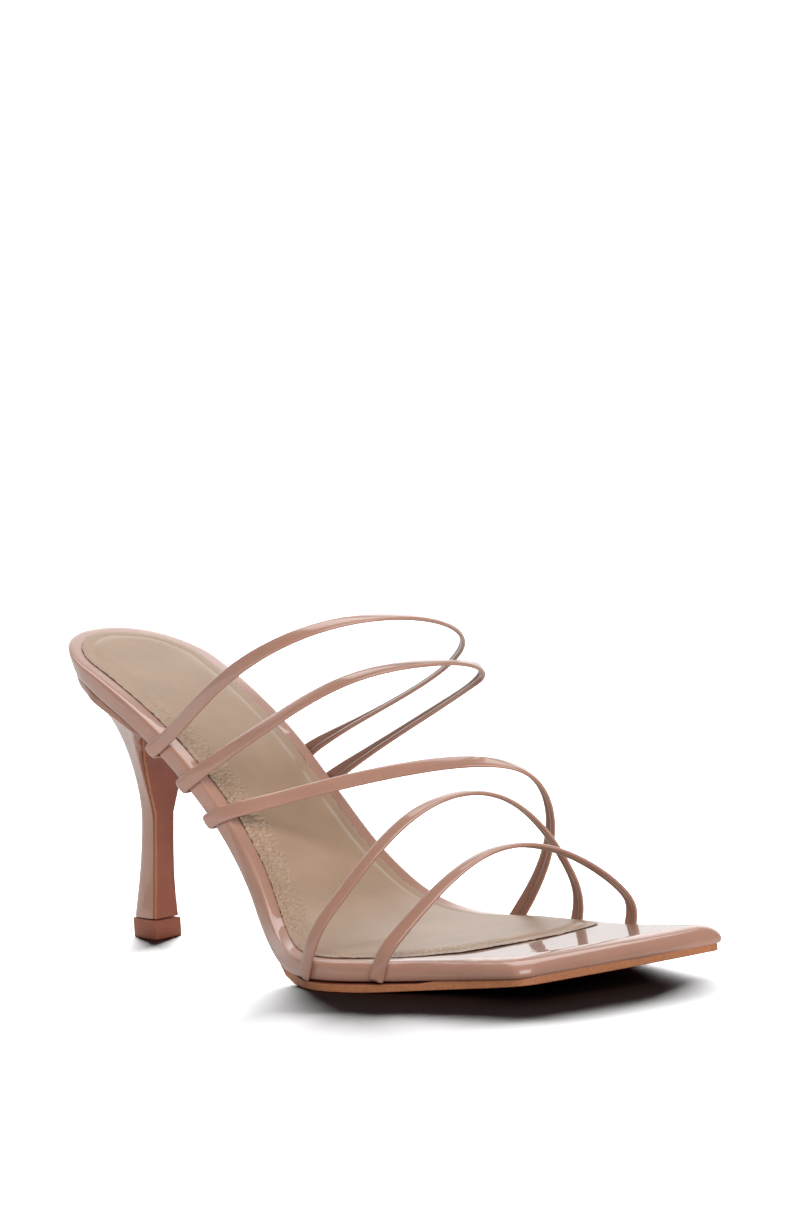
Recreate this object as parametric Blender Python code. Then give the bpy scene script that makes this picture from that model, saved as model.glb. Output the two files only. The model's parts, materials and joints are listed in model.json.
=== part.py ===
"""Strappy mule sandal for the right foot: square toe, five thin straps and a slim flared heel.

The footbed is drawn flat, along its own length, and then bent to the side profile of the last.
Along runs from the back of the heel to the toe on the footbed's top, across is + to the inner
side of the foot, and up is square to the footbed. Sizes are in millimetres.
"""
import math

import bmesh
import bpy
import numpy as np
from mathutils import Vector

MM = 0.001
GAP = 0.3

# Side profile of the last: slope of the footbed in degrees at places along it. Under the ball the
# outsole is worn flat by the depth of the flat spot.
LENGTH = 248.0
SLOPE = {"along": (0, 38, 88, 133, 161, 248), "degrees": (21.8, 21.8, 44, 44, 0, -5.6)}
OUTSOLE_FOREFOOT = 2.3
WALL = 6.2
FLAT_SPOT = 0.2
BALL_TOP = WALL + GAP + OUTSOLE_FOREFOOT - FLAT_SPOT

# Outline of the footbed: half widths to the outer and inner side
OUTLINE = {
    "along": (27, 50, 75, 100, 122, 140, 155, 170, 185, 205, 225, 248),
    "outer": (21, 24, 25, 25.2, 29.5, 36.5, 44, 47, 43.5, 37, 33.5, 31.5),
    "inner": (28, 24.5, 22.6, 22, 22.8, 28, 35.3, 41, 40.5, 38.2, 36.8, 36.5),
}
HEEL_ROUND = 27.0
HEEL_SQUARENESS = 2.1
TOE_OUTER = 235.0
TOE_INNER = 248.0
TOE_BULGE = 1.5
TOE_RADIUS = 5.0
TOE_PARTS = (0.28, 0.45)

# Rim of the footbed, from the underside over the wall to the top: crisp at heel and waist, and
# rounded off at the toe. Round the back of the heel its wall slants in below by the undercut.
RIM_CRISP = {"inset": (1.0, 0.3, 0.0, 0.0, 0.2, 0.7, 2.4), "up": (-6.2, -5.7, -4.7, -1.0, -0.4, -0.1, 0.0)}
RIM_SOFT = {"inset": (1.0, 0.3, 0.0, 0.3, 1.5, 3.6, 6.0), "up": (-6.2, -5.7, -4.7, -3.1, -1.5, -0.4, 0.0)}
RIM_SOFTENS = {"along": (150, 230), "share": (0, 1)}
RIM_SLANT = (1.0, 0.92, 0.75, 0.12, 0.03, 0.0, 0.0)
UNDERCUT = {"along": (0, 8, 34), "depth": (3.8, 3.4, 0)}

# Sock: inset from the outline, its front edge behind the toes, and its edge from bottom to top
SOCK_INSET = {"outer": 4.2, "inner": 5.0}
SOCK_FRONT = {
    "outer": {"along": (172, 188, 200, 207, 209), "across": (-43, -36, -27, -12, 8)},
    "inner": {"along": (199, 206, 209), "across": (34, 25, 8)},
}
SOCK_SIDE = 166.0
SOCK_TIP = 208.7
SOCK_EDGE = {"inset": (0.0, 0.0, 0.5, 2.5), "up": (GAP, 0.9, 1.35, 1.7)}

# Outsole: inset from the outline and thickness
OUTSOLE = {
    "along": (60, 80, 110, 135, 152, 165, 195, 220, 248),
    "inset": (5.5, 5.5, 5.5, 4.5, 2.0, 0.2, 0.2, 0.8, 1.6),
    "thick": (1.4, 1.4, 1.4, 1.5, 1.9, 2.3, 2.3, 2.3, 2.2),
}

# Heel: a stem of level sections, then a flare to the seat. The outsole's flap covers its front and
# is narrower than it by a share.
TIP_HEIGHT = 5.6
FLAP = 1.3
FLAP_SHARE = {"height": (37, 62), "share": (0.94, 0.80)}
BACK_ROUNDNESS = 0.6
STEM = {
    "height": (5.9, 15, 25, 37),
    "front": (28.8, 28.3, 28.2, 28.4),
    "back": (17.9, 19.4, 20.6, 21.2),
    "half": (4.6, 3.9, 3.6, 3.6),
    "middle": (-1.7, -1.1, -0.4, 0.4),
}
FLARE_HEIGHT_FRONT = 72.0
FLARE_HEIGHT_BACK = 65.0
FLARE_FALL = 4
FLARE_FRONT = 28.8
FLARE_MIDDLE = 2.0
FLARE_BACK = 20.7
FLARE_HALF = 9.0
FLARE_WING = 6.0
SEAT_INSET = 0.8
SEAT_FRONT = 56.0
SEAT_DEPTH = 2.2
SEAT_DEPTH_FRONT = 0.6
SEAT_FULL_TURN = math.radians(30.5)
TIP_FRONT = 31.0
TIP_BACK = 17.4
TIP_HALF = 4.9
TIP_MIDDLE = -2.0

# Straps: width and thickness, then one row each. Each arches in a plane through its two ends,
# leaning forward by lean degrees from level, and leaves the outer wall at its slant. Its arch is drawn
# with six guide points, as distances across from the outer end and up the plane. On the way its outside
# is turned out of that plane by these degrees, + to the back, at these shares of the arch.
STRAP_WIDTH = 4.6
STRAP_THICK = 1.3
STRAP_END_UP = -2.0
TUCK = 3.2
TUCK_BEHIND = 120.0
TURN_AT = (0, 0.1, 0.2, 0.3, 0.4, 0.48, 0.55, 0.62, 0.7, 0.8, 0.9, 1)
STRAPS = {
    "strap_rear": dict(outer=66, inner=79, lean=29.7, slant=29,
                       turn=(-12, -10, -3, 17, 35, 51, 52, 20, -28, -50, -42, 11),
                       arch=((0, 11), (-5, 46), (15, 85), (64, 82), (71, 47), (52, 8))),
    "strap_instep": dict(outer=82, inner=91, lean=29, slant=29,
                         turn=(-11, 6, 19, 26, 38, 47, 53, 15, -40, -42, -30, 9),
                         arch=((0, 10), (5, 37), (12, 76), (64, 79), (58, 50), (51, 9))),
    "strap_diagonal": dict(outer=97, inner=162, lean=46, slant=20,
                           turn=(-42, -31, -27, -27, -25, -15, 3, 30, 36, 38, 44, 64),
                           arch=((0, 7), (14, 13), (34, 32), (77, 63), (94, 31), (93, 8))),
    "strap_ball": dict(outer=166, inner=184, lean=66, slant=66,
                       turn=(-5, -2, 2, 5, 11, 23, 24, 13, 10, 7, 4, 8),
                       arch=((0, 12), (5, 17), (25.7, 51), (59.7, 50), (85.7, 19), (92.5, 8))),
    "strap_toe": dict(outer=190, inner=208, lean=70, slant=70,
                      turn=(-23, -16, -8, 2, 16, 26, 29, 25, 22, 15, 8, 9),
                      arch=((0, 5), (3.5, 8.3), (28, 36), (57.5, 29.5), (82, 11), (84, 6))),
}

# Section of a strap, as shares of its half width and half thickness: flat inside, domed outside
ARCH_STEPS = 46
STRAP_SECTION = {
    "across": (-0.82, 0.82, 1, 1, 0.74, 0, -0.74, -1, -1),
    "out": (-1, -1, -0.6, 0.2, 0.8, 1, 0.8, 0.2, -0.6),
}
TAIL_PARTS = (0.35, 0.7, 1.0)
TUCK_TURNS = np.radians((25, 50, 75, 90))

# Finishes: sRGB colour, roughness and metallic
FINISH = {
    "nude_patent": ("#C79C8C", 0.12, 0.0),
    "taupe_lining": ("#B3957D", 0.55, 0.0),
    "tan_sole_leather": ("#A65B45", 0.5, 0.0),
    "tan_heel_rubber": ("#8F4D3D", 0.6, 0.0),
}

# Steps of the profile, the outlines and the sections, and the angle of a sharp edge
PROFILE_STEPS = 501
SHARP_ANGLE = math.radians(40)
SIDE_STEPS = 27
TOE_STEPS = 4
CORNER_STEPS = 4
SQUARE_FROM = 200.0
SOCK_FRONT_STEPS = 14
STEM_STEPS = 6
FLARE_STEPS = 9
HEEL_TURN = np.radians(np.linspace(8, 90, 8)[:-1])
RING_TURN = np.radians(np.linspace(0, 84, 12))


def smooth(at, places, values):
    """Cubic curve through a short table, read at the given places."""
    places = np.asarray(places, float)
    values = np.asarray(values, float)
    at = np.clip(np.asarray(at, float), places[0], places[-1])
    slope = np.gradient(values, places)
    i = np.clip(np.searchsorted(places, at, side="right") - 1, 0, len(places) - 2)
    span = places[i + 1] - places[i]
    t = (at - places[i]) / span
    start = (2 * t**3 - 3 * t**2 + 1) * values[i] + (t**3 - 2 * t**2 + t) * span * slope[i]
    end = (3 * t**2 - 2 * t**3) * values[i + 1] + (t**3 - t**2) * span * slope[i + 1]
    return start + end


def side_profile():
    """Top centreline of the footbed from the side: along, x, z and slope."""
    along = np.linspace(0, LENGTH, PROFILE_STEPS)
    slope = np.radians(np.interp(along, SLOPE["along"], SLOPE["degrees"]))
    middle = (slope[1:] + slope[:-1]) / 2
    step = along[1] - along[0]
    x = np.concatenate([[0], np.cumsum(np.cos(middle) * step)])
    z = np.concatenate([[0], np.cumsum(-np.sin(middle) * step)])
    return along, x, z - z.min() + BALL_TOP, slope


PROFILE = side_profile()


def bed_up(along):
    """Direction square to the footbed, away from the floor."""
    turn = np.interp(along, PROFILE[0], PROFILE[3])
    return np.stack([np.sin(turn), 0 * turn, np.cos(turn)], -1)


def bend(along, across, up):
    """Place flat points of the footbed on the bent last."""
    along = np.asarray(along, float)
    x = np.interp(along, PROFILE[0], PROFILE[1])
    z = np.interp(along, PROFILE[0], PROFILE[2])
    base = np.stack([x, across + 0 * along, z], -1)
    return base + bed_up(along) * np.asarray(up, float)[..., None]


def edge(side, along, inset):
    """Across position of the outer or inner edge, moved in by the inset."""
    outer = smooth(along, OUTLINE["along"], OUTLINE["outer"])
    inner = smooth(along, OUTLINE["along"], OUTLINE["inner"])
    run = np.clip((along - inset) / (HEEL_ROUND - inset), 0, 1)
    fill = (1 - (1 - run) ** HEEL_SQUARENESS) ** (1 / HEEL_SQUARENESS)
    sign = -1 if side == "outer" else 1
    return (inner - outer) / 2 + sign * ((inner + outer) / 2 - inset) * fill


def toe_edge(part, inset):
    """Front edge of the toe, from its outer corner at 0 to its inner corner at 1."""
    along = TOE_OUTER + (TOE_INNER - TOE_OUTER) * part + 4 * TOE_BULGE * part * (1 - part) - inset
    left = edge("outer", np.array(TOE_OUTER), inset)
    right = edge("inner", np.array(TOE_INNER), inset)
    return np.stack([along, left + (right - left) * part], -1)


def corner(first, peak, last, steps):
    """Rounded corner, as a curve that touches both of its sides."""
    t = np.linspace(0, 1, steps + 2)[1:-1, None]
    return (1 - t) ** 2 * first + 2 * t * (1 - t) * peak + t**2 * last


def bed_line(side, inset, start=0.0):
    """One edge of the footbed, drawn flat from the start to the middle of the toe."""
    toe = TOE_OUTER if side == "outer" else TOE_INNER
    toe_inset = float(inset(np.array(toe)))
    side_end = toe - toe_inset - TOE_RADIUS
    along = np.concatenate([np.linspace(max(start, HEEL_ROUND), SQUARE_FROM, SIDE_STEPS),
                            np.linspace(SQUARE_FROM, side_end, TOE_STEPS + 1)[1:]])
    if start < HEEL_ROUND:
        back = inset(np.array(0.0))
        along = np.concatenate([back + (HEEL_ROUND - back) * (1 - np.cos(HEEL_TURN)), along])
    run = np.stack([along, edge(side, along, inset(along))], -1)
    corners = toe_edge(np.array((0.0, 1.0)), toe_inset)
    parts = np.array((0.0, TOE_RADIUS / np.linalg.norm(corners[1] - corners[0]), *TOE_PARTS))
    front = toe_edge(parts if side == "outer" else 1 - parts, toe_inset)
    return np.concatenate([run, corner(run[-1], front[0], front[1], CORNER_STEPS), front[1:]])


def undercut(along):
    """How far the underside of the wall is set in round the back of the heel."""
    return smooth(along, UNDERCUT["along"], UNDERCUT["depth"])


def rim_loop(ring):
    """Closed loop round the footbed at one ring of its rim."""
    def blend(name, along):
        share = smooth(along, RIM_SOFTENS["along"], RIM_SOFTENS["share"])
        return RIM_CRISP[name][ring] * (1 - share) + RIM_SOFT[name][ring] * share

    def inset(along):
        return blend("inset", along) + RIM_SLANT[ring] * undercut(along)

    outer = bed_line("outer", inset)
    inner = bed_line("inner", inset)[::-1]
    flat = np.concatenate([outer, inner])
    return bend(flat[:, 0], flat[:, 1], blend("up", flat[:, 0]))


def sock_edge(side, along, inset):
    """Across position of the sock's edge: along the footbed's side, then round the front."""
    front = SOCK_FRONT[side]
    shrink = 1 - inset / abs(front["across"][0])
    rounded = shrink * smooth(along + inset, front["along"], front["across"])
    straight = edge(side, along, SOCK_INSET[side] + inset)
    started = along + inset > front["along"][0]
    nearer = np.maximum if side == "outer" else np.minimum
    return np.where(started, nearer(straight, rounded), straight)


def sock_loop(inset, up):
    """Closed loop round the sock: heel, sides and the rounded front edge behind the toes."""
    back = SOCK_INSET["outer"] + inset
    ahead = np.sin(np.linspace(0, math.pi / 2, SOCK_FRONT_STEPS + 1)[1:])
    along = np.concatenate([back + (HEEL_ROUND - back) * (1 - np.cos(HEEL_TURN)),
                            np.linspace(HEEL_ROUND, SOCK_SIDE, SIDE_STEPS),
                            SOCK_SIDE + (SOCK_TIP - inset - SOCK_SIDE) * ahead])
    lines = [np.stack([along, sock_edge(side, along, inset)], -1) for side in ("outer", "inner")]
    flat = np.concatenate([lines[0], lines[1][::-1]])
    return bend(flat[:, 0], flat[:, 1], np.full(len(flat), up))


def heel_ring(front, back, half, wing, middle, height):
    """Level section of the heel: flat front, rounded back, and corners that spread by the wing."""
    x = front + (back - front) * np.sin(RING_TURN)
    y = half * np.cos(RING_TURN) ** BACK_ROUNDNESS + wing * (1 - np.sin(RING_TURN)) ** 2
    outer = np.stack([x, middle - y, height + 0 * x], -1)
    inner = np.stack([x, middle + y, height + 0 * x], -1)
    return np.concatenate([outer, inner[::-1]])


def seat_ring(depth):
    """Section of the heel under the seat of the footbed, at a depth below it."""
    up = -WALL - GAP - depth + 0 * RING_TURN
    back = SEAT_INSET + undercut(0.0)
    along = SEAT_FRONT + (back - SEAT_FRONT) * np.sin(RING_TURN)
    inset = SEAT_INSET + undercut(along)
    outer = bend(along, edge("outer", along, inset), up)
    inner = bend(along, edge("inner", along, inset), up)
    return np.concatenate([outer, inner[::-1]])


def stem_ring(height):
    """Level section of the heel's stem, read from its table."""
    front, back, half, middle = [smooth(height, STEM["height"], STEM[name])
                                 for name in ("front", "back", "half", "middle")]
    return heel_ring(front, back, half, 0.0, middle, height)


def heel_rings():
    """Sections of the heel from its tip up to the seat."""
    heights = np.linspace(STEM["height"][0], STEM["height"][-1], STEM_STEPS)
    rings = [stem_ring(height) for height in heights]
    stem = rings[-1]
    fall = np.cos(RING_TURN) ** FLARE_FALL
    height = FLARE_HEIGHT_BACK + (FLARE_HEIGHT_FRONT - FLARE_HEIGHT_BACK) * fall
    guide = heel_ring(FLARE_FRONT, FLARE_BACK, FLARE_HALF, FLARE_WING, FLARE_MIDDLE, height)
    full_depth = np.minimum(1, RING_TURN / SEAT_FULL_TURN)
    seat = seat_ring(SEAT_DEPTH_FRONT + (SEAT_DEPTH - SEAT_DEPTH_FRONT) * full_depth)
    for t in np.linspace(0, 1, FLARE_STEPS + 1)[1:]:
        rings.append((1 - t) ** 2 * stem + 2 * t * (1 - t) * guide + t**2 * seat)
    rings.append(seat_ring(0.0))
    return rings


def outsole_loops():
    """Upper and lower loop of the outsole, from the foot of the breast to the toe."""
    def inset(along):
        return smooth(along, OUTSOLE["along"], OUTSOLE["inset"])

    def thick(along):
        return smooth(along, OUTSOLE["along"], OUTSOLE["thick"])

    breast = heel_rings()[:-1]
    upper, lower = [], []
    for side in ("outer", "inner"):
        line = bed_line(side, inset, OUTSOLE["along"][0])
        top = bend(line[:, 0], line[:, 1], np.full(len(line), -WALL - GAP))
        bottom = bend(line[:, 0], line[:, 1], -WALL - GAP - thick(line[:, 0]))
        bottom[:, 2] = np.maximum(bottom[:, 2], 0)
        corners = np.array([ring[0 if side == "outer" else -1] for ring in breast])
        middle = np.array([(ring[0] + ring[-1]) / 2 for ring in breast])
        share = np.interp(corners[:, 2], FLAP_SHARE["height"], FLAP_SHARE["share"])
        flap = middle + (corners - middle) * share[:, None]
        path = np.concatenate([middle[:, [0, 2]], [[top[0, 0], top[0, 2]]]])
        run = np.gradient(path, axis=0)[:-1]
        run = run / np.linalg.norm(run, axis=1)[:, None]
        forward = np.stack([run[:, 1], 0 * run[:, 0], -run[:, 0]], -1)
        upper.append(np.concatenate([flap + forward * GAP, top]))
        lower.append(np.concatenate([flap + forward * (GAP + FLAP), bottom]))
    return [np.concatenate([lines[0], lines[1][::-1]]) for lines in (lower, upper)]


def spline_weights(guides, steps, degree=3):
    """Weights of the guide points at even steps along a curve that starts and ends on its end points."""
    knots = np.concatenate([np.zeros(degree), np.linspace(0, 1, guides - degree + 1), np.ones(degree)])
    t = np.minimum(np.linspace(0, 1, steps), 1 - 1e-9)[:, None]
    weights = ((t >= knots[:-1]) & (t < knots[1:])).astype(float)
    for d in range(1, degree + 1):
        count = weights.shape[1] - 1
        rise = knots[d:d + count] - knots[:count]
        fall = knots[d + 1:d + 1 + count] - knots[1:1 + count]
        up = np.where(rise > 0, (t - knots[:count]) / np.where(rise > 0, rise, 1), 0)
        down = np.where(fall > 0, (knots[d + 1:d + 1 + count] - t) / np.where(fall > 0, fall, 1), 0)
        weights = up * weights[:, :-1] + down * weights[:, 1:]
    return weights


def unit(vector):
    """The vector at length 1."""
    return vector / np.linalg.norm(vector)


def strap_end(side, along):
    """Place, outward direction and footbed direction where a strap meets the wall."""
    places = np.array([along - 1.0, along, along + 1.0])
    wall = bend(places, edge(side, places, 0.0), np.full(3, STRAP_END_UP))
    up = bed_up(np.array(along))
    out = unit(np.cross(wall[2] - wall[0], up))
    out = out if (out[1] > 0) == (side == "inner") else -out
    return wall[1] + out * (GAP + STRAP_THICK / 2), out, up


def strap_tail(place, out, up, rise, tucked):
    """Strap from the wall's top down its side, and round under it where it is tucked in."""
    down = -unit(rise - out * (rise @ out))
    steep = abs(down @ up)
    low_corner = 0 if tucked else STRAP_WIDTH / 2 * math.sqrt(1 - steep**2)
    drop = (WALL + STRAP_END_UP - low_corner) / steep
    points = [place + down * drop * part for part in TAIL_PARTS]
    faces = [out, out, out]
    if tucked:
        clear = GAP + STRAP_THICK / 2
        pivot = points[-1] - out * clear
        for turn in TUCK_TURNS:
            faces.append(unit(out * math.cos(turn) - up * math.sin(turn)))
            points.append(pivot + faces[-1] * clear)
        points.append(points[-1] - out * TUCK)
        faces.append(-up)
    return points, faces


def strap_sections(row):
    """Sections of one strap from its outer end over the foot to its inner end."""
    first, first_out, first_up = strap_end("outer", row["outer"])
    last, last_out, last_up = strap_end("inner", row["inner"])
    along = unit(last - first)
    lean = math.radians(row["lean"])
    rise = np.array([math.cos(lean), 0, math.sin(lean)])
    rise = unit(rise - along * (rise @ along))
    guides = [first + along * across + rise * up for across, up in row["arch"]]
    slant = math.radians(row["slant"])
    leave = np.array([math.cos(slant), 0, math.sin(slant)])
    guides[0] = first + unit(leave - first_out * (leave @ first_out)) * row["arch"][0][1]
    guides[-1] = last + unit(rise - last_out * (rise @ last_out)) * row["arch"][-1][1]
    guides = np.array([first] + guides + [last])
    arch = spline_weights(len(guides), ARCH_STEPS) @ guides
    back = np.cross(rise, along)
    turns = np.radians(smooth(np.linspace(0, 1, ARCH_STEPS), TURN_AT, row["turn"]))
    faces = []
    for direction, turn in zip(np.gradient(arch, axis=0), turns):
        faces.append(unit(np.cross(direction, back)) * math.cos(turn) + back * math.sin(turn))
    start, start_faces = strap_tail(first, first_out, first_up, leave, row["outer"] < TUCK_BEHIND)
    end, end_faces = strap_tail(last, last_out, last_up, rise, row["inner"] < TUCK_BEHIND)
    path = np.array(start[::-1] + list(arch) + end)
    outward = np.array(start_faces[::-1] + faces + end_faces)
    run = np.gradient(path, axis=0)
    sections = []
    for place, face, direction in zip(path, outward, run):
        direction = unit(direction)
        wide = unit(np.cross(direction, face))
        face = np.cross(wide, direction)
        wide = wide * STRAP_WIDTH / 2
        face = face * STRAP_THICK / 2
        shares = zip(STRAP_SECTION["across"], STRAP_SECTION["out"])
        sections.append([place + wide * across + face * out for across, out in shares])
    return sections


def finish_material(name):
    """Material of one finish, shared by the pieces that have it."""
    colour, roughness, metallic = FINISH[name]
    material = bpy.data.materials.get(name) or bpy.data.materials.new(name)
    material.use_nodes = True
    shader = material.node_tree.nodes["Principled BSDF"]
    channels = [int(colour[i:i + 2], 16) / 255 for i in (1, 3, 5)]
    linear = [c / 12.92 if c <= 0.04045 else ((c + 0.055) / 1.055) ** 2.4 for c in channels]
    shader.inputs["Base Color"].default_value = (*linear, 1)
    shader.inputs["Roughness"].default_value = roughness
    shader.inputs["Metallic"].default_value = metallic
    return material


def add_solid(name, loops, finish, rungs=True):
    """Closed solid through loops of equal count, its two ends closed by rungs or by one face."""
    bm = bmesh.new()
    rings = [[bm.verts.new(Vector(point) * MM) for point in loop] for loop in loops]
    count = len(rings[0])
    for low, high in zip(rings, rings[1:]):
        for i in range(count):
            j = (i + 1) % count
            bm.faces.new((low[i], low[j], high[j], high[i]))
    for ring in (rings[0], rings[-1]):
        if rungs:
            for i in range(count // 2 - 1):
                bm.faces.new((ring[i], ring[i + 1], ring[count - 2 - i], ring[count - 1 - i]))
        else:
            bm.faces.new(ring)
    bmesh.ops.recalc_face_normals(bm, faces=bm.faces)
    mesh = bpy.data.meshes.new(name)
    bm.to_mesh(mesh)
    bm.free()
    mesh.shade_smooth()
    mesh.set_sharp_from_angle(angle=SHARP_ANGLE)
    mesh.materials.append(finish_material(finish))
    piece = bpy.data.objects.new(name, mesh)
    bpy.context.collection.objects.link(piece)
    return piece


def build():
    for old in list(bpy.data.objects):
        bpy.data.objects.remove(old)
    rim = [rim_loop(ring) for ring in range(len(RIM_CRISP["up"]))]
    sock = [sock_loop(inset, up) for inset, up in zip(SOCK_EDGE["inset"], SOCK_EDGE["up"])]
    tip = [heel_ring(TIP_FRONT, TIP_BACK, TIP_HALF, 0.0, TIP_MIDDLE, height)
           for height in (0.0, TIP_HEIGHT)]
    pieces = [
        add_solid("footbed", rim, "nude_patent"),
        add_solid("sock", sock, "taupe_lining"),
        add_solid("outsole", outsole_loops(), "tan_sole_leather"),
        add_solid("heel", heel_rings(), "nude_patent"),
        add_solid("heel_tip", tip, "tan_heel_rubber"),
    ]
    for name, row in STRAPS.items():
        pieces.append(add_solid(name, strap_sections(row), "nude_patent", rungs=False))

    # The origin is under the middle of the shoe
    points = np.array([vertex.co[:] for piece in pieces for vertex in piece.data.vertices])
    low, high = points.min(0), points.max(0)
    sandal = bpy.data.objects.new("sandal", None)
    bpy.context.collection.objects.link(sandal)
    sandal.location = (-(low[0] + high[0]) / 2, -(low[1] + high[1]) / 2, 0)
    for piece in pieces:
        piece.parent = sandal


build()
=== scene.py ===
"""Looks of a strappy mule sandal: patent straps and wrap, padded sock, leather sole and slim heel.

Each operator takes a copy of one solid, smooths and details it, and gives it its material. The last
one sets up the floor, the light and the camera.
"""
import json
import math

import bmesh
import bpy
from bpy.props import FloatProperty, FloatVectorProperty, PointerProperty
from mathutils import Euler, Matrix, Vector
from mathutils.bvhtree import BVHTree
from mathutils.kdtree import KDTree

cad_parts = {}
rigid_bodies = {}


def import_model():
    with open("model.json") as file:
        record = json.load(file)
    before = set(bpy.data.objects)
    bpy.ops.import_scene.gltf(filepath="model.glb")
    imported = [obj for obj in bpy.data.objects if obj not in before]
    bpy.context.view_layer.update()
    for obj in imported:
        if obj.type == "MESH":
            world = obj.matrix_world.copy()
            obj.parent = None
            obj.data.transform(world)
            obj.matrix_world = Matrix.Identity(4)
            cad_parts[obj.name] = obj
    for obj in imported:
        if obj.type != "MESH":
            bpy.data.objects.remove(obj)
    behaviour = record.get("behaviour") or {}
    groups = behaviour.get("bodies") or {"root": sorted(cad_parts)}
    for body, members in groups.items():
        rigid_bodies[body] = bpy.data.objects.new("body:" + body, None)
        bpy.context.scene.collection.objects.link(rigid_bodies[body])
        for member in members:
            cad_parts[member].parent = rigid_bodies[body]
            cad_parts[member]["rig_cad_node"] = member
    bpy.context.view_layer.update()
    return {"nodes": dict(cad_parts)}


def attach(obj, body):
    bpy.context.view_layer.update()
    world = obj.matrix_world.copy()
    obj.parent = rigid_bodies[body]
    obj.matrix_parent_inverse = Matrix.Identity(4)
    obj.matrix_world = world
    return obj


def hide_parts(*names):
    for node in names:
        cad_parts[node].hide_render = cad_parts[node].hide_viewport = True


bl_info = {
    "name": "Strappy sandal",
    "version": (1, 0, 0),
    "blender": (4, 5, 0),
    "location": "View3D > Sidebar > Sandal",
    "description": "Dresses the solids of a strappy mule sandal and sets up its stage",
    "category": "Object",
}

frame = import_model()
BODY = "root"
MM = 0.001

# Merging and smoothing of the copied solids
MERGE = 0.01 * MM
QUAD_ANGLE = math.radians(60)
SHARP_ANGLE = math.radians(50)
SMOOTH_LEVELS = 2
ROUND_SEGMENTS = 3

# A gap to the footbed that is no wider than this is closed, and the piece sunk in
PRESS_REACH = 0.6 * MM
PRESS_SINK = 0.35 * MM

# Heel: its sharp edges are creased at its caps, which face up or down, and where they are upright.
# An edge is level where its rise is under this share of its length.
CAP_FACING = 0.8
LEVEL = 0.5
HEEL_CREASE = 0.9

# Straps: width of a strap's flat inside, by which the edges across it are found. Places across it go
# from -1 to 1, with the seam at the middle and a rolled half's crown on each side.
STRAPS = ("strap_rear", "strap_instep", "strap_diagonal", "strap_ball", "strap_toe")
STRAP_WIDTH = 4.6 * MM
INSIDE_WIDTH = 0.82 * STRAP_WIDTH
INSIDE_MATCH = 0.0002 * MM
INSIDE_CUTS = 3
OFF_INSIDE = 2.0
CROWN_AT = 0.5
SEAM_AT = 0.0
ACROSS_MATCH = 0.1

# Sock: heights over the footbed in the solid, in millimetres, and heights of the real sheet there.
# Faces of its top lie above SOCK_TOP, and its cut edge faces sideways. Inside its rounded side the
# padding rises on, over these shares of that side's width and rise.
SOCK_SOLID = (0.3, 0.9, 1.35, 1.7)
SOCK_SHEET = (0.05, 0.22, 0.36, 0.4)
SOCK_TOP = 1.48
CUT_FACING = 0.5
CROWN_WIDTH = 2
CROWN_RISE = 0.3
SOCK_LEVELS = 3

# The padding is smoothed over the bend at the ball, between two places along the shoe
SOCK_CUTS = 7
BALL_BEND = (-22 * MM, 50 * MM)
BALL_EASE = 0.5
BALL_ROUNDS = 10

# Then dents and swells are pressed one by one: place along and across, reach and rise, in millimetres
SOCK_SWELLS = (
    (19, -24, 15, -0.45),
    (34, -25, 17, -0.6),
    (49, -26, 14, -0.4),
    (65, -11, 14, 0.45),
    (62, 5, 14, 0.45),
    (57, 20, 13, 0.4),
    (-14, -6, 20, -0.4),
    (-40, 4, 18, 0.35),
)

# Outsole: a raw edge faces sideways, or forward at the toe
EDGE_FACING = 0.6
TOE_FROM = 20 * MM

# Its front edge is brought up and out to the toe's wall, and thinned
UP_FACING = 0.3
LIFT_FROM = (60 * MM, 95 * MM)
SOLE_LIFT = (0, 0.4 * MM)
TOE_EDGE = 84 * MM
TOE_REACH = 0.9 * MM
SKIVE_FROM = (50 * MM, 95 * MM)
SKIVE = (0, 1.0 * MM)

# Lamps: turn from the camera's side, height, distance and size in metres, and light. The floor has
# a lamp of its own, wide and low behind the shoe, whose shadow lies in front of it.
FLOOR_LAMP = {
    "name": "floor_strip", "turn": math.radians(176), "height": math.radians(11.5), "away": 60,
    "size": (50, 8), "light": 3200.0, "colour": (0.68, 0.955, 1.0)}
LAMPS = (
    {"name": "top_soft_box", "turn": math.radians(180), "height": math.radians(68), "away": 1.6,
     "size": (1.5, 0.9), "light": 2.8, "colour": (1, 1, 1)},
    {"name": "side_soft_box", "turn": math.radians(-94), "height": math.radians(6), "away": 1.6,
     "size": (1.3, 0.9), "light": 0.2, "colour": (1, 1, 1)},
    {"name": "front_soft_box", "turn": math.radians(8), "height": math.radians(30), "away": 2.4,
     "size": (2.4, 1.6), "light": 4.2, "colour": (1, 1, 1)},
)

# Floor: its size in metres, its paper's colour in the picture, and the darker one that lights
# the shoe
FLOOR_SIZE = 40
FLOOR_SEEN = (0.155, 0.11, 0.105)
FLOOR_BOUNCE = (0.055, 0.039, 0.037)

# Back wall: how squarely a direction faces it where it starts and where it is in full light, how high
# it gets brighter, and how high it ends. The camera sees an even white in its place.
WALL_FACING = (0.35, 0.9)
WALL_RISE = (0.15, 0.35)
WALL_END = (0.5, 0.75)
WHITE_SEEN = 1.2

# Camera: width of its sensor in millimetres, and how far it sees in metres
SENSOR_WIDTH = 36
SIGHT = 100

# Most of a noise's values lie between these
NOISE_LOW = 0.3
NOISE_HIGH = 0.7


def linear(colour):
    """Linear colour of an sRGB hex value."""
    channels = [int(colour[i:i + 2], 16) / 255 for i in (1, 3, 5)]
    return [c / 12.92 if c <= 0.04045 else ((c + 0.055) / 1.055) ** 2.4 for c in channels]


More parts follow.
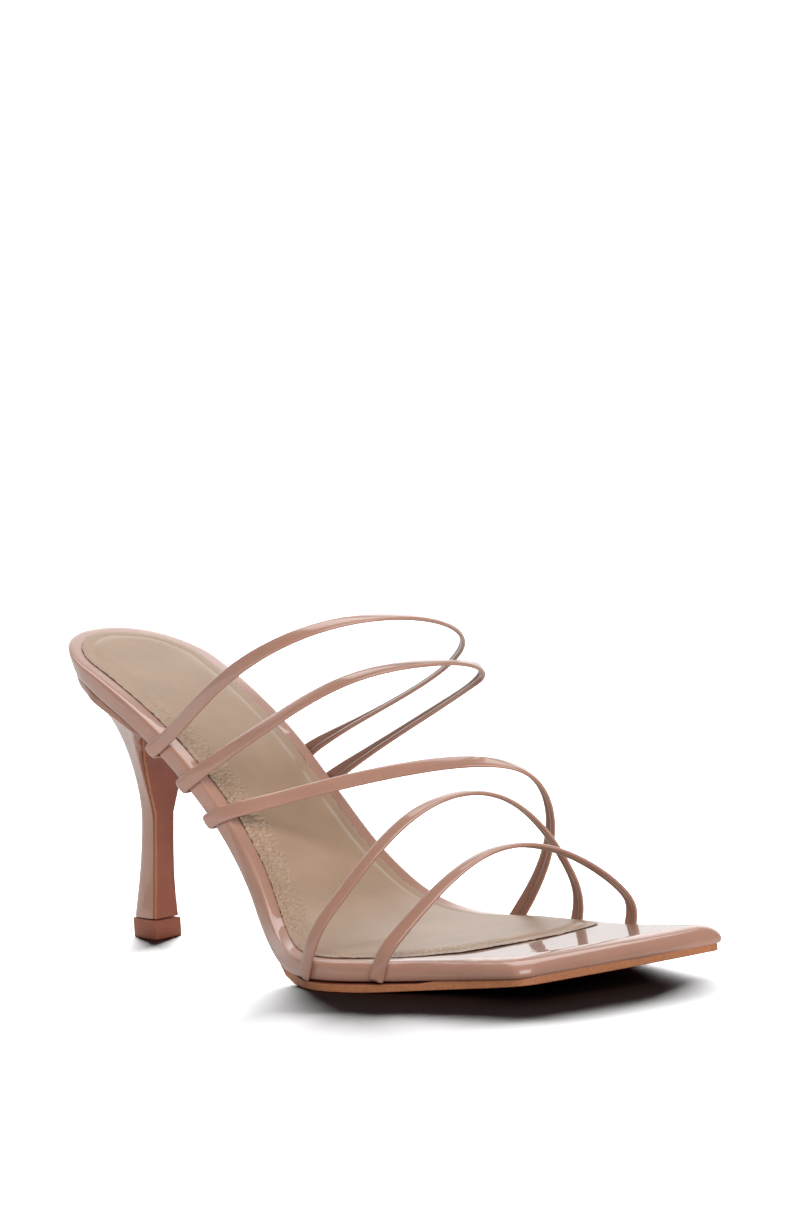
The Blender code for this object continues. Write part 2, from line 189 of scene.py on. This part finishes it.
def colour_property(name, description, colour):
    """Colour that a user can change."""
    return FloatVectorProperty(name=name, description=description, subtype="COLOR", min=0, max=1,
                               default=linear(colour))


def length_property(name, description, millimetres):
    """Length that a user can change."""
    return FloatProperty(name=name, description=description, unit="LENGTH",
                         default=millimetres * MM, precision=5)


class SandalSizes(bpy.types.PropertyGroup):
    """Sizes of the details."""

    seam_depth: length_property("Seam depth", "Depth of the folded seam inside a strap", 0.35)
    seam_crown: length_property("Seam crown", "Height of the rolled halves beside that seam", 0.25)
    sock_margin: length_property("Sock margin", "Flat margin round the padding, from its lip", 1.0)
    sock_groove: length_property("Sock groove", "Dip between the margin and the padding", 0.15)
    sock_slope: length_property("Sock slope", "Width of the padding's rounded side", 1.1)
    sock_rise: length_property("Sock rise", "Height of the padding over the margin", 0.7)
    sole_round: length_property("Sole rounding", "Rounding of the outsole's cut edges", 0.25)
    tip_round: length_property("Tip rounding", "Rounding of the top piece's edges", 0.35)


class SandalColours(bpy.types.PropertyGroup):
    """Colours of the finishes."""

    patent: colour_property("Patent", "Nude patent of straps, wrap and heel", "#BE8E7A")
    sock: colour_property("Sock", "Taupe lining of the sock", "#B5967C")
    cut: colour_property("Cut edge", "Raw cut edge of the sock", "#4A2A1E")
    sole: colour_property("Sole", "Smooth face of the outsole and breast", "#A4604A")
    sole_edge: colour_property("Sole edge", "Raw edge of the outsole", "#D89460")
    tip: colour_property("Tip", "Rubber of the top piece", "#A3604A")


class SandalStage(bpy.types.PropertyGroup):
    """Camera and light."""

    aim: FloatVectorProperty(name="Aim", description="Point that the camera is placed from",
                             unit="LENGTH", default=(-0.00089, 0.00311, 0.0495), precision=5)
    distance: FloatProperty(name="Distance", description="Camera's distance from that point",
                            unit="LENGTH", default=1.68955, precision=5)
    azimuth: FloatProperty(name="Azimuth", description="Camera's place round the shoe",
                           subtype="ANGLE", default=math.radians(46.987))
    elevation: FloatProperty(name="Elevation", description="Camera's place above the floor",
                             subtype="ANGLE", default=math.radians(7.420))
    yaw: FloatProperty(name="Yaw", description="Direction that the camera faces", subtype="ANGLE",
                       default=math.radians(46.369))
    pitch: FloatProperty(name="Pitch", description="How far the camera looks down", subtype="ANGLE",
                         default=math.radians(5.696))
    roll: FloatProperty(name="Roll", description="Turn about the line of sight", subtype="ANGLE",
                        default=math.radians(-3.387))
    lens: FloatProperty(name="Lens", description="Focal length", default=175.68, unit="CAMERA")
    back_light: FloatProperty(name="Back wall", description="Light from the wall behind the shoe",
                              default=1.0)
    back_rise: FloatProperty(name="Back wall rise",
                             description="How much brighter that wall is higher up", default=1.9)
    front_light: FloatProperty(name="Front wall",
                               description="Light from the wall on the camera's side", default=0.02)
    room_light: FloatProperty(name="Room", description="Light from all round", default=0.015)


def interpolate(value, places, values):
    """Value read from a short table, between its places."""
    for low, high, start, end in zip(places, places[1:], values, values[1:]):
        if value < high:
            return start + (end - start) * max(0, value - low) / (high - low)
    return values[-1]


def direction(azimuth, elevation):
    """Unit vector from the shoe to a place round it."""
    level = math.cos(elevation)
    return Vector((math.sin(azimuth) * level, -math.cos(azimuth) * level, math.sin(elevation)))


def add_node(tree, kind, inputs=None, **settings):
    """Add a node with its settings, and set or link its inputs."""
    node = tree.nodes.new("ShaderNode" + kind)
    for name, value in settings.items():
        setattr(node, name, value)
    for name, value in (inputs or {}).items():
        if isinstance(value, bpy.types.NodeSocket):
            tree.links.new(value, node.inputs[name])
        else:
            node.inputs[name].default_value = value
    return node


def new_material(name):
    """Empty node material, with its tree and its Principled shader."""
    material = bpy.data.materials.new(name)
    material.use_nodes = True
    return material, material.node_tree, material.node_tree.nodes["Principled BSDF"]


def select_only(piece):
    """Make one object the whole selection and the active object."""
    bpy.ops.object.select_all(action="DESELECT")
    piece.select_set(True)
    bpy.context.view_layer.objects.active = piece


def open_mesh(piece, select="VERT"):
    """Open a piece's mesh with nothing selected, to be edited by its points, edges or faces."""
    select_only(piece)
    bpy.ops.object.mode_set(mode="EDIT")
    bpy.ops.mesh.select_mode(type=select)
    bpy.ops.mesh.select_all(action="DESELECT")
    return bmesh.from_edit_mesh(piece.data)


def close_mesh():
    """Close the open mesh with nothing selected."""
    bpy.ops.mesh.select_all(action="DESELECT")
    bpy.ops.object.mode_set(mode="OBJECT")


def merged_copy(node, name, kept_edge=None):
    """Copy a solid under a new name, with its loose triangles merged and joined into quads.

    No quad is joined across a kept edge, which stays marked as a seam.
    """
    select_only(frame["nodes"][node])
    bpy.ops.object.duplicate()
    piece = bpy.context.active_object
    piece.name = name
    piece.data.name = name
    del piece["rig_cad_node"]
    piece.data.materials.clear()
    bpy.ops.mesh.customdata_custom_splitnormals_clear()
    open_mesh(piece)
    bpy.ops.mesh.select_all(action="SELECT")
    bpy.ops.mesh.remove_doubles(threshold=MERGE)
    for edge in bmesh.from_edit_mesh(piece.data).edges:
        edge.seam = kept_edge is not None and kept_edge(edge)
    bpy.ops.mesh.tris_convert_to_quads(face_threshold=QUAD_ANGLE, shape_threshold=QUAD_ANGLE,
                                       seam=True)
    close_mesh()
    return piece


def footbed_surface():
    """Surface of the footbed, to measure from."""
    footbed = frame["nodes"]["footbed"].data
    return BVHTree.FromPolygons([vert.co for vert in footbed.vertices],
                                [face.vertices for face in footbed.polygons])


def press_on_footbed(piece):
    """Close the narrow gap that the solids keep between a piece and the footbed."""
    bed = footbed_surface()
    for vert in piece.data.vertices:
        place, _, _, gap = bed.find_nearest(vert.co)
        if gap < PRESS_REACH:
            vert.co += (place - vert.co).normalized() * (gap + PRESS_SINK)


def crease_sharp(piece, amount):
    """Crease a piece's sharp upright edges and its caps' edges, so that smoothing keeps them."""
    open_mesh(piece, "EDGE")
    bpy.ops.mesh.edges_select_sharp(sharpness=SHARP_ANGLE)
    for edge in bmesh.from_edit_mesh(piece.data).edges:
        run = edge.verts[1].co - edge.verts[0].co
        capped = any(abs(face.normal.z) > CAP_FACING for face in edge.link_faces)
        if edge.select and not capped and abs(run.z) < LEVEL * run.length:
            edge.select = False
    bpy.ops.transform.edge_crease(value=amount)
    close_mesh()


def apply_modifier(piece, kind, **settings):
    """Add a modifier with its settings and apply it."""
    modifier = piece.modifiers.new(kind.title(), kind)
    for name, value in settings.items():
        setattr(modifier, name, value)
    select_only(piece)
    bpy.ops.object.modifier_apply(modifier=modifier.name)


def smooth(piece, levels=SMOOTH_LEVELS):
    """Smooth a piece by dividing its faces."""
    apply_modifier(piece, "SUBSURF", levels=levels, render_levels=levels)


def round_edges(piece, width):
    """Round a piece's sharp edges."""
    apply_modifier(piece, "BEVEL", width=width, segments=ROUND_SEGMENTS, limit_method="ANGLE",
                   angle_limit=SHARP_ANGLE)


def finish_piece(piece, node, material):
    """Shade a piece smooth, give it its material, and let it stand for its solid."""
    select_only(piece)
    bpy.ops.object.shade_smooth_by_angle(angle=SHARP_ANGLE)
    piece.data.materials.append(material)
    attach(piece, BODY)
    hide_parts(node)


def patent_leather(colour):
    """Patent leather: dyed leather under a clear poured film, which mirrors its surroundings.

    The insides of the straps, where it is folded on itself, are darkened by painted shade.
    """
    name = "nude_patent_leather"
    if name in bpy.data.materials:
        return bpy.data.materials[name]
    material, tree, shader = new_material(name)
    place = add_node(tree, "TexCoord").outputs["Object"]
    cloud = add_node(tree, "TexNoise", {"Vector": place, "Scale": 1 / (18 * MM), "Detail": 4.0})
    shade = add_node(tree, "MapRange", {"Value": cloud.outputs["Fac"], "From Min": NOISE_LOW,
                                        "From Max": NOISE_HIGH, "To Min": 0.94, "To Max": 1.05})
    # Painted shade: the straps' insides are darkened to 62% of the patent's colour
    folded = add_node(tree, "Attribute", attribute_name="painted_shade_inside").outputs["Fac"]
    painted_shade = add_node(tree, "MapRange", {"Value": folded, "To Min": 1.0, "To Max": 0.62})
    depth = add_node(tree, "Math", {0: shade.outputs["Result"], 1: painted_shade.outputs["Result"]},
                     operation="MULTIPLY")
    tint = add_node(tree, "Mix", {"Factor": 1.0, "A": (*colour, 1), "B": depth.outputs["Value"]},
                    data_type="RGBA", blend_type="MULTIPLY")
    tree.links.new(tint.outputs["Result"], shader.inputs["Base Color"])
    swell = add_node(tree, "TexNoise", {"Vector": place, "Scale": 1 / (7 * MM), "Detail": 3.0})
    film = add_node(tree, "Bump", {"Height": swell.outputs["Fac"], "Distance": 0.12 * MM,
                                   "Strength": 0.35})
    tree.links.new(film.outputs["Normal"], shader.inputs["Coat Normal"])
    pores = add_node(tree, "TexNoise", {"Vector": place, "Scale": 1 / (0.6 * MM), "Detail": 2.0})
    grain = add_node(tree, "Bump", {"Height": pores.outputs["Fac"], "Distance": 0.02 * MM,
                                    "Strength": 0.4, "Normal": film.outputs["Normal"]})
    tree.links.new(grain.outputs["Normal"], shader.inputs["Normal"])
    shader.inputs["Roughness"].default_value = 0.4
    shader.inputs["Coat Weight"].default_value = 1.0
    shader.inputs["Coat Roughness"].default_value = 0.03
    return material


def sock_leather(colour, cut):
    """Lining leather glued over foam: satin, crinkled by its outer margin, with a dark cut edge."""
    material, tree, shader = new_material("taupe_lining_leather")
    place = add_node(tree, "TexCoord").outputs["Object"]
    margin = add_node(tree, "Attribute", attribute_name="margin_mm").outputs["Fac"]
    grain = add_node(tree, "TexVoronoi", {"Vector": place, "Scale": 1 / (0.9 * MM)},
                     feature="SMOOTH_F1")
    cloud = add_node(tree, "TexNoise", {"Vector": place, "Scale": 1 / (14 * MM), "Detail": 3.0})
    shade = add_node(tree, "MapRange", {"Value": cloud.outputs["Fac"], "From Min": NOISE_LOW,
                                        "From Max": NOISE_HIGH, "To Min": 0.92, "To Max": 1.06})
    tint = add_node(tree, "Mix", {"Factor": 1.0, "A": (*colour, 1), "B": shade.outputs["Result"]},
                    data_type="RGBA", blend_type="MULTIPLY")
    ragged = add_node(tree, "TexNoise", {"Vector": place, "Scale": 1 / (1.6 * MM), "Detail": 2.0})
    reach = add_node(tree, "MapRange", {"Value": ragged.outputs["Fac"], "From Min": 0.35,
                                        "From Max": 0.65, "To Min": -0.05, "To Max": 0.36})
    inside = add_node(tree, "Math", {0: margin, 1: reach.outputs["Result"]},
                      operation="GREATER_THAN")
    surface = add_node(tree, "Mix", {"Factor": inside.outputs["Value"], "A": (*cut, 1),
                                     "B": tint.outputs["Result"]}, data_type="RGBA")
    tree.links.new(surface.outputs["Result"], shader.inputs["Base Color"])
    axes = add_node(tree, "SeparateXYZ", {"Vector": place})
    outer = add_node(tree, "MapRange", {"Value": axes.outputs["Y"], "From Min": 0.0,
                                        "From Max": -8 * MM, "To Min": 0.0, "To Max": 1.0})
    waist = add_node(tree, "MapRange", {"Value": axes.outputs["X"], "From Min": -80 * MM,
                                        "From Max": -45 * MM, "To Min": 0.0, "To Max": 1.0})
    side = add_node(tree, "Math", {0: outer.outputs["Result"], 1: waist.outputs["Result"]},
                    operation="MULTIPLY")
    band = add_node(tree, "MapRange", {"Value": margin, "From Min": 6.0, "From Max": 10.0,
                                       "To Min": 1.0, "To Max": 0.0},
                    interpolation_type="SMOOTHSTEP")
    crinkle = add_node(tree, "Math", {0: side.outputs["Value"], 1: band.outputs["Result"], 2: 0.08},
                       operation="MULTIPLY_ADD")
    bump = add_node(tree, "Bump", {"Height": grain.outputs["Distance"], "Distance": 0.5 * MM,
                                   "Strength": crinkle.outputs["Value"]})
    tree.links.new(bump.outputs["Normal"], shader.inputs["Normal"])
    shader.inputs["Roughness"].default_value = 0.38
    shader.inputs["Specular IOR Level"].default_value = 0.45
    return material


def sole_leather(colour):
    """Dyed sole leather, smoothed and waxed: faintly mottled with a low sheen."""
    material, tree, shader = new_material("tan_sole_leather_face")
    place = add_node(tree, "TexCoord").outputs["Object"]
    cloud = add_node(tree, "TexNoise", {"Vector": place, "Scale": 1 / (9 * MM), "Detail": 4.0})
    shade = add_node(tree, "MapRange", {"Value": cloud.outputs["Fac"], "From Min": NOISE_LOW,
                                        "From Max": NOISE_HIGH, "To Min": 0.9, "To Max": 1.08})
    tint = add_node(tree, "Mix", {"Factor": 1.0, "A": (*colour, 1), "B": shade.outputs["Result"]},
                    data_type="RGBA", blend_type="MULTIPLY")
    tree.links.new(tint.outputs["Result"], shader.inputs["Base Color"])
    grain = add_node(tree, "TexNoise", {"Vector": place, "Scale": 1 / (0.5 * MM), "Detail": 2.0})
    bump = add_node(tree, "Bump", {"Height": grain.outputs["Fac"], "Distance": 0.02 * MM,
                                   "Strength": 0.5})
    tree.links.new(bump.outputs["Normal"], shader.inputs["Normal"])
    shader.inputs["Roughness"].default_value = 0.45
    return material


def raw_sole_edge(colour, dark):
    """Trimmed edge of the sole: open fibres, mottled and lighter than the face."""
    material, tree, shader = new_material("tan_sole_leather_edge")
    place = add_node(tree, "TexCoord").outputs["Object"]
    fibre = add_node(tree, "TexNoise", {"Vector": place, "Scale": 1 / (0.8 * MM), "Detail": 3.0})
    tint = add_node(tree, "Mix", {"Factor": fibre.outputs["Fac"], "A": (*dark, 1),
                                  "B": (*colour, 1)}, data_type="RGBA")
    tree.links.new(tint.outputs["Result"], shader.inputs["Base Color"])
    bump = add_node(tree, "Bump", {"Height": fibre.outputs["Fac"], "Distance": 0.05 * MM,
                                   "Strength": 0.6})
    tree.links.new(bump.outputs["Normal"], shader.inputs["Normal"])
    shader.inputs["Roughness"].default_value = 0.55
    return material


def top_piece_rubber(colour):
    """Moulded heel rubber: matt, with a fine stipple."""
    material, tree, shader = new_material("tan_top_piece_rubber")
    place = add_node(tree, "TexCoord").outputs["Object"]
    stipple = add_node(tree, "TexNoise", {"Vector": place, "Scale": 1 / (0.4 * MM), "Detail": 2.0})
    bump = add_node(tree, "Bump", {"Height": stipple.outputs["Fac"], "Distance": 0.03 * MM,
                                   "Strength": 0.5})
    tree.links.new(bump.outputs["Normal"], shader.inputs["Normal"])
    shader.inputs["Base Color"].default_value = (*colour, 1)
    shader.inputs["Roughness"].default_value = 0.55
    return material


class SANDAL_OT_straps(bpy.types.Operator):
    """Five patent straps, each folded round to a seam along its inside"""

    bl_idname = "sandal.straps"
    bl_label = "Straps"

    def execute(self, context):
        sizes = context.scene.sandal_sizes
        material = patent_leather(context.scene.sandal_colours.patent)
        for node in STRAPS:
            piece = merged_copy(node, node + "_band", self.crosses_inside)
            self.fold(piece, sizes)
            smooth(piece)
            finish_piece(piece, node, material)
        return {"FINISHED"}

    @staticmethod
    def crosses_inside(edge):
        """Whether an edge runs across a strap's flat inside."""
        return abs(edge.calc_length() - INSIDE_WIDTH) < INSIDE_MATCH

    def fold(self, piece, sizes):
        """Cut the strap's inside lengthwise, roll its two halves and sink the seam between them."""
        mesh = open_mesh(piece)
        across = mesh.verts.layers.float.new("across_inside")
        folded = mesh.verts.layers.float.new("painted_shade_inside")
        for vert in mesh.verts:
            vert[across] = OFF_INSIDE
        for edge in mesh.edges:
            if edge.seam:
                edge.select = True
                edge.verts[0][across] = -1.0
                edge.verts[1][across] = 1.0
                # Mark the inside's points for the painted shade that darkens them in the material
                for vert in edge.verts:
                    vert[folded] = 1.0
        bpy.ops.mesh.subdivide(number_cuts=INSIDE_CUTS)
        for middle, move in ((CROWN_AT, sizes.seam_crown), (SEAM_AT, -sizes.seam_depth)):
            bpy.ops.mesh.select_all(action="DESELECT")
            mesh = bmesh.from_edit_mesh(piece.data)
            across = mesh.verts.layers.float["across_inside"]
            for vert in mesh.verts:
                vert.select = abs(abs(vert[across]) - middle) < ACROSS_MATCH
            mesh.select_flush(True)
            bpy.ops.transform.shrink_fatten(value=move)
        bpy.ops.transform.edge_crease(value=1.0)
        close_mesh()


class SANDAL_OT_footbed(bpy.types.Operator):
    """Footbed wrapped in patent"""

    bl_idname = "sandal.footbed"
    bl_label = "Footbed"

    def execute(self, context):
        piece = merged_copy("footbed", "footbed_wrap")
        smooth(piece)
        material = patent_leather(context.scene.sandal_colours.patent)
        finish_piece(piece, "footbed", material)
        return {"FINISHED"}


class SANDAL_OT_sock(bpy.types.Operator):
    """Padded sock on the footbed"""

    bl_idname = "sandal.sock"
    bl_label = "Sock"

    def execute(self, context):
        sizes = context.scene.sandal_sizes
        colours = context.scene.sandal_colours
        piece = merged_copy("sock", "sock_lining")
        bed = footbed_surface()
        self.pad(piece, bed, sizes)
        smooth(piece, SOCK_LEVELS)
        self.measure_margin(piece, bed)
        finish_piece(piece, "sock", sock_leather(colours.sock, colours.cut))
        return {"FINISHED"}

    def pad(self, piece, bed, sizes):
        """Thin the sock to its real sheet and raise the padding inside its margin."""
        mesh = open_mesh(piece)
        for vert in mesh.verts:
            _, up, _, height = bed.find_nearest(vert.co)
            height /= MM
            vert.select = height > SOCK_TOP
            vert.co += up * (interpolate(height, SOCK_SOLID, SOCK_SHEET) - height) * MM
        mesh.select_flush(True)
        bpy.ops.mesh.select_mode(type="FACE")
        for width, rise in ((sizes.sock_margin, -sizes.sock_groove),
                            (sizes.sock_slope, sizes.sock_rise),
                            (CROWN_WIDTH * sizes.sock_slope, CROWN_RISE * sizes.sock_rise)):
            bpy.ops.mesh.inset(thickness=width, depth=rise)
        self.smooth_ball(piece)
        for place in SOCK_SWELLS:
            self.press(piece, *[size * MM for size in place])
        close_mesh()

    def smooth_ball(self, piece):
        """Cut the padding lengthwise and ease it over the bend at the ball of the foot."""
        mesh = bmesh.from_edit_mesh(piece.data)
        rungs = [edge for edge in mesh.edges if all(face.select for face in edge.link_faces)]
        bpy.ops.mesh.select_mode(type="EDGE")
        bpy.ops.mesh.select_all(action="DESELECT")
        for edge in rungs:
            edge.select = True
        before = len(mesh.verts)
        bpy.ops.mesh.subdivide(number_cuts=SOCK_CUTS)
        bpy.ops.mesh.select_mode(type="VERT")
        bpy.ops.mesh.select_all(action="DESELECT")
        mesh = bmesh.from_edit_mesh(piece.data)
        for vert in list(mesh.verts)[before:]:
            vert.select = BALL_BEND[0] < vert.co.x < BALL_BEND[1]
        bpy.ops.mesh.vertices_smooth(factor=BALL_EASE, repeat=BALL_ROUNDS, xaxis=False,
                                     yaxis=False, zaxis=True)

    def press(self, piece, x, y, reach, rise):
        """Press a soft dent into the padding, or raise a swell on it."""
        bpy.ops.mesh.select_all(action="DESELECT")
        mesh = bmesh.from_edit_mesh(piece.data)
        top = [vert for vert in mesh.verts if vert.normal.z > CUT_FACING]
        spot = min(top, key=lambda vert: math.hypot(vert.co.x - x, vert.co.y - y))
        spot.select = True
        bpy.ops.transform.translate(value=(0, 0, rise), use_proportional_edit=True,
                                    use_proportional_connected=True, proportional_size=reach,
                                    proportional_edit_falloff="SMOOTH")

    def measure_margin(self, piece, bed):
        """Note each point's distance from the sock's upright cut edge, in millimetres."""
        cut = []
        for vert in piece.data.vertices:
            _, up, _, height = bed.find_nearest(vert.co)
            if height < SOCK_SHEET[-1] * MM and abs(vert.normal.dot(up)) < CUT_FACING:
                cut.append(vert.co)
        edge = KDTree(len(cut))
        for index, point in enumerate(cut):
            edge.insert(point, index)
        edge.balance()
        margin = piece.data.attributes.new("margin_mm", "FLOAT", "POINT")
        for vert in piece.data.vertices:
            margin.data[vert.index].value = edge.find(vert.co)[2] / MM


class SANDAL_OT_outsole(bpy.types.Operator):
    """Leather outsole with its flap down the breast of the heel"""

    bl_idname = "sandal.outsole"
    bl_label = "Outsole"

    def execute(self, context):
        sizes = context.scene.sandal_sizes
        colours = context.scene.sandal_colours
        piece = merged_copy("outsole", "leather_outsole")
        press_on_footbed(piece)
        self.close_up(piece)
        finish_piece(piece, "outsole", sole_leather(colours.sole))
        piece.data.materials.append(raw_sole_edge(colours.sole_edge, colours.sole))
        for face in piece.data.polygons:
            forward = face.center.x > TOE_FROM and face.normal.x > EDGE_FACING
            face.material_index = int(forward or abs(face.normal.y) > EDGE_FACING)
        round_edges(piece, sizes.sole_round)
        return {"FINISHED"}

    def close_up(self, piece):
        """Bring the sole's front up and out to the toe's wall, and thin it there."""
        mesh = open_mesh(piece)
        for vert in mesh.verts:
            vert.select = vert.co.x > TOE_EDGE
            if vert.normal.z > UP_FACING:
                vert.co.z += interpolate(vert.co.x, LIFT_FROM, SOLE_LIFT)
            elif vert.normal.z < -UP_FACING:
                vert.co.z += interpolate(vert.co.x, SKIVE_FROM, SKIVE)
        bpy.ops.transform.translate(value=(TOE_REACH, 0, 0))
        close_mesh()


class SANDAL_OT_heel(bpy.types.Operator):
    """Slim flared heel in patent, with its top piece"""

    bl_idname = "sandal.heel"
    bl_label = "Heel"

    def execute(self, context):
        sizes = context.scene.sandal_sizes
        colours = context.scene.sandal_colours
        heel = merged_copy("heel", "heel_cover")
        press_on_footbed(heel)
        crease_sharp(heel, HEEL_CREASE)
        smooth(heel)
        finish_piece(heel, "heel", patent_leather(colours.patent))
        tip = merged_copy("heel_tip", "top_piece")
        round_edges(tip, sizes.tip_round)
        finish_piece(tip, "heel_tip", top_piece_rubber(colours.tip))
        return {"FINISHED"}


class SANDAL_OT_stage(bpy.types.Operator):
    """White floor, soft light from several sides, and the camera"""

    bl_idname = "sandal.stage"
    bl_label = "Stage"

    def execute(self, context):
        stage = context.scene.sandal_stage
        floor = self.floor()
        self.light(context.scene, stage)
        self.lamp(FLOOR_LAMP, stage, self.receivers(floor, "INCLUDE"))
        all_but_floor = self.receivers(floor, "EXCLUDE")
        for lamp in LAMPS:
            self.lamp(lamp, stage, all_but_floor)
        self.camera(context.scene, stage)
        context.scene.view_settings.view_transform = "Standard"
        return {"FINISHED"}

    def floor(self):
        """Sheet of paper that looks white under its lamp and throws little light back at the shoe."""
        bpy.ops.object.select_all(action="DESELECT")
        bpy.ops.mesh.primitive_plane_add(size=FLOOR_SIZE)
        floor = bpy.context.active_object
        floor.name = "studio_floor"
        material, tree, shader = new_material("white_floor_paper")
        rays = add_node(tree, "LightPath")
        paper = add_node(tree, "Mix", {"Factor": rays.outputs["Is Camera Ray"],
                                       "A": (*FLOOR_BOUNCE, 1), "B": (*FLOOR_SEEN, 1)},
                         data_type="RGBA")
        tree.links.new(paper.outputs["Result"], shader.inputs["Base Color"])
        shader.inputs["Roughness"].default_value = 1.0
        shader.inputs["Specular IOR Level"].default_value = 0.0
        floor.data.materials.append(material)
        return floor

    def light(self, scene, stage):
        """Dim room with a pale wall, brighter behind the shoe."""
        world = bpy.data.worlds.new("studio")
        scene.world = world
        world.use_nodes = True
        tree = world.node_tree
        background = tree.nodes["Background"]
        behind = direction(stage.azimuth + math.pi, 0)
        place = add_node(tree, "TexCoord").outputs["Generated"]
        height = add_node(tree, "SeparateXYZ", {"Vector": place}).outputs["Z"]
        facing = add_node(tree, "VectorMath", {0: place, 1: behind}, operation="DOT_PRODUCT")
        wall = add_node(tree, "MapRange", {"Value": facing.outputs["Value"],
                                           "From Min": WALL_FACING[0], "From Max": WALL_FACING[1],
                                           "To Min": stage.front_light, "To Max": stage.back_light},
                        interpolation_type="SMOOTHSTEP")
        rise = add_node(tree, "MapRange", {"Value": height, "From Min": WALL_RISE[0],
                                           "From Max": WALL_RISE[1], "To Min": 1.0,
                                           "To Max": stage.back_rise})
        low = add_node(tree, "MapRange", {"Value": height, "From Min": WALL_END[0],
                                          "From Max": WALL_END[1], "To Min": 1.0, "To Max": 0.0},
                       interpolation_type="SMOOTHSTEP")
        screen = add_node(tree, "Math", {0: rise.outputs["Result"], 1: low.outputs["Result"]},
                          operation="MULTIPLY")
        lit = add_node(tree, "Math", {0: wall.outputs["Result"], 1: screen.outputs["Value"],
                                      2: stage.room_light}, operation="MULTIPLY_ADD")
        rays = add_node(tree, "LightPath")
        seen = add_node(tree, "Mix", {"Factor": rays.outputs["Is Camera Ray"],
                                      "A": lit.outputs["Value"], "B": WHITE_SEEN})
        background.inputs["Color"].default_value = (1, 1, 1, 1)
        tree.links.new(seen.outputs["Result"], background.inputs["Strength"])

    def receivers(self, floor, state):
        """Collection that has a lamp light the floor alone, or all but the floor."""
        collection = bpy.data.collections.new("floor_" + state.lower())
        collection.objects.link(floor)
        collection.collection_objects[0].light_linking.link_state = state
        return collection

    def lamp(self, lamp, stage, receivers):
        """Soft lamp that faces the shoe and lights what its receivers let it."""
        place = direction(stage.azimuth + lamp["turn"], lamp["height"]) * lamp["away"]
        bpy.ops.object.light_add(type="AREA", location=place,
                                 rotation=place.to_track_quat("Z", "Y").to_euler())
        light = bpy.context.active_object
        light.name = lamp["name"]
        light.data.shape = "RECTANGLE"
        light.data.size, light.data.size_y = lamp["size"]
        light.data.color = lamp["colour"]
        light.data.energy = math.pi * math.prod(lamp["size"]) * lamp["light"]
        light.visible_camera = False
        light.light_linking.receiver_collection = receivers

    def camera(self, scene, stage):
        """Camera in its place, turned to its view."""
        place = direction(stage.azimuth, stage.elevation)
        turn = Euler((math.pi / 2 - stage.pitch, 0, stage.yaw)).to_matrix()
        turn = turn @ Matrix.Rotation(stage.roll, 3, "Z")
        bpy.ops.object.camera_add(location=Vector(stage.aim) + place * stage.distance,
                                  rotation=turn.to_euler())
        camera = bpy.context.active_object
        camera.data.lens = stage.lens
        camera.data.sensor_width = SENSOR_WIDTH
        camera.data.clip_end = SIGHT
        scene.camera = camera


class SANDAL_PT_panel(bpy.types.Panel):
    """Lists the sandal's operators, sizes and colours"""

    bl_label = "Strappy sandal"
    bl_idname = "SANDAL_PT_panel"
    bl_space_type = "VIEW_3D"
    bl_region_type = "UI"
    bl_category = "Sandal"

    def draw(self, context):
        for operator in OPERATORS:
            self.layout.operator(operator.bl_idname)
        scene = context.scene
        for group in (scene.sandal_sizes, scene.sandal_colours, scene.sandal_stage):
            for name in group.__annotations__:
                self.layout.prop(group, name)


OPERATORS = (SANDAL_OT_straps, SANDAL_OT_footbed, SANDAL_OT_sock, SANDAL_OT_outsole, SANDAL_OT_heel,
             SANDAL_OT_stage)
CLASSES = (SandalSizes, SandalColours, SandalStage, *OPERATORS, SANDAL_PT_panel)


def register():
    """Register the classes and hang the property groups on the scene."""
    for kind in CLASSES:
        bpy.utils.register_class(kind)
    bpy.types.Scene.sandal_sizes = PointerProperty(type=SandalSizes)
    bpy.types.Scene.sandal_colours = PointerProperty(type=SandalColours)
    bpy.types.Scene.sandal_stage = PointerProperty(type=SandalStage)


def unregister():
    """Take off what register put on."""
    del bpy.types.Scene.sandal_stage
    del bpy.types.Scene.sandal_colours
    del bpy.types.Scene.sandal_sizes
    for kind in reversed(CLASSES):
        bpy.utils.unregister_class(kind)


def main():
    """Register the classes, and make every piece and the stage."""
    register()
    bpy.ops.sandal.straps()
    bpy.ops.sandal.footbed()
    bpy.ops.sandal.sock()
    bpy.ops.sandal.outsole()
    bpy.ops.sandal.heel()
    bpy.ops.sandal.stage()


if __name__ == "__main__":
    main()
